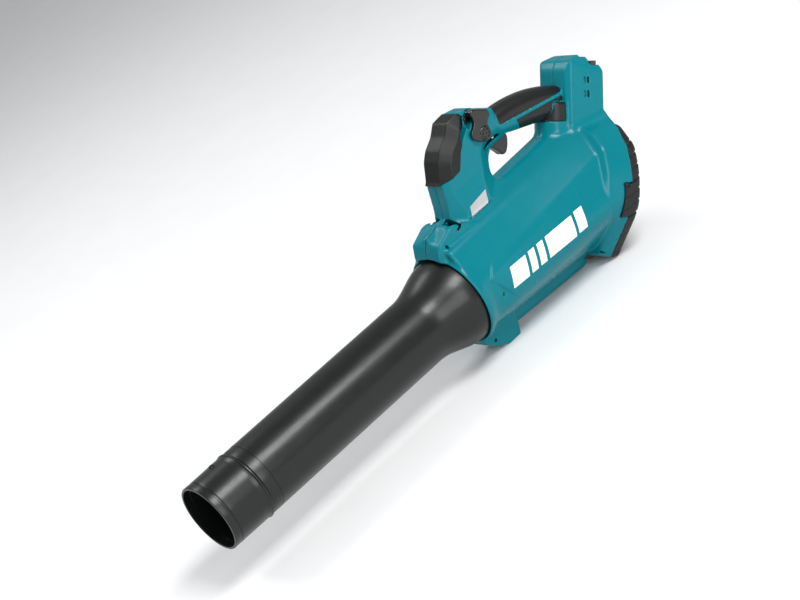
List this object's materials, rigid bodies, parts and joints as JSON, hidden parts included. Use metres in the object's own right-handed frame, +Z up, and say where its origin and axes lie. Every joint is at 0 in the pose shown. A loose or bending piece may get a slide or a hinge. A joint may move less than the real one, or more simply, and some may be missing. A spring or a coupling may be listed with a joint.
{
  "type": "leaf blower",
  "caption": "Cordless axial leaf blower with a straight nozzle, slanted intake grille, top handle with trigger and speed lever, and a leaned battery column; bare tool.",
  "frame": {"origin": "on the floor under the middle of the tool's bounding box, as it stands on its front boss and the bottom of its intake cover", "axes": "+Z up; -Y the way the air leaves the nozzle, +Y towards the intake and battery column; +X the tool's left side"},
  "size_m": [0.164, 0.7258, 0.273],
  "materials": {
    "housing": "satin gloss moulded",
    "bumper": "fine textured",
    "soft_grip": "soft overmoulded",
    "cover": "fine textured",
    "nozzle": "satin",
    "trigger": "satin",
    "lever": "glossy",
    "lever_cap": "satin",
    "battery_seat": "satin",
    "terminals": "polished",
    "heat_sink": "cast",
    "circuit_board": "coated",
    "switch": "satin",
    "red_lead": "satin",
    "black_lead": "satin",
    "yellow_lead": "satin",
    "duct": "satin",
    "fan": "glass-filled",
    "rubber": "matte",
    "motor_metal": "cast",
    "lamination": "laminated",
    "winding": "enamelled copper",
    "magnet": "sintered",
    "bearing_steel": "ground",
    "screws": "blackened",
    "cam": "satin"
  },
  "bodies": {
    "housing": {"housing_left": "housing", "housing_right": "housing", "front_bumper": "bumper", "grip_upper_skin": "soft_grip", "grip_lower_skin": "soft_grip", "column_boot": "soft_grip", "intake_cover": "cover", "cover_screws": "screws", "housing_screws": "screws", "battery_rails": "battery_seat", "terminal_block": "battery_seat", "terminal_blades": "terminals", "controller_case": "heat_sink", "controller_board": "circuit_board", "switch_body": "switch", "battery_leads": "red_lead", "switch_leads": "black_lead", "motor_leads": "yellow_lead", "fan_duct": "duct", "duct_rubber_rings": "rubber", "guide_vanes": "duct", "pod_tail_cone": "duct", "motor_end_plates": "motor_metal", "stator_core": "lamination", "stator_coils": "winding", "sensor_board": "circuit_board", "bearing_outer_rings": "bearing_steel", "bearing_balls": "bearing_steel", "trigger_pin": "bearing_steel"},
    "fan": {"motor_shaft": "bearing_steel", "bearing_inner_rings": "bearing_steel", "rotor_core": "lamination", "rotor_magnets": "magnet", "fan_impeller": "fan", "fan_nut": "screws", "fan_spinner": "fan"},
    "trigger": {"trigger": "trigger", "trigger_spring": "bearing_steel"},
    "plunger": {"switch_plunger": "switch"},
    "speed_lever": {"speed_lever": "lever", "lever_cap": "lever_cap", "lever_shaft": "lever", "lever_clip": "bearing_steel", "speed_cam": "cam"},
    "nozzle": {"nozzle_tube": "nozzle", "nozzle_collar": "nozzle", "nozzle_seal": "rubber"}
  },
  "joints": [
    {"name": "fan_spin", "type": "hinge", "parent": "housing", "child": "fan", "pos_m": [0, 0.21306, 0.087], "axis": [0, 1, 0], "continuous": true},
    {"name": "trigger_pull", "type": "hinge", "parent": "housing", "child": "trigger", "pos_m": [0, 0.18406, 0.221], "axis": [1, 0, 0], "range_deg": [0, 14], "stiffness_Nm_per_rad": 0.15, "springref_deg": -17.19},
    {"name": "plunger_slide", "type": "slide", "parent": "housing", "child": "plunger", "axis": [0, 1, 0], "range_m": [0, 0.0025]},
    {"name": "lever_turn", "type": "hinge", "parent": "housing", "child": "speed_lever", "pos_m": [0, 0.16706, 0.2365], "axis": [1, 0, 0], "range_deg": [0, 40]},
    {"name": "nozzle_twist", "type": "hinge", "parent": "housing", "child": "nozzle", "pos_m": [0, 0.03706, 0.087], "axis": [0, 1, 0], "range_deg": [0, 25]}
  ],
  "couplings": [
    {"joint": "plunger_slide", "follows": "trigger_pull", "m_per_rad": 0.00982}
  ]
}
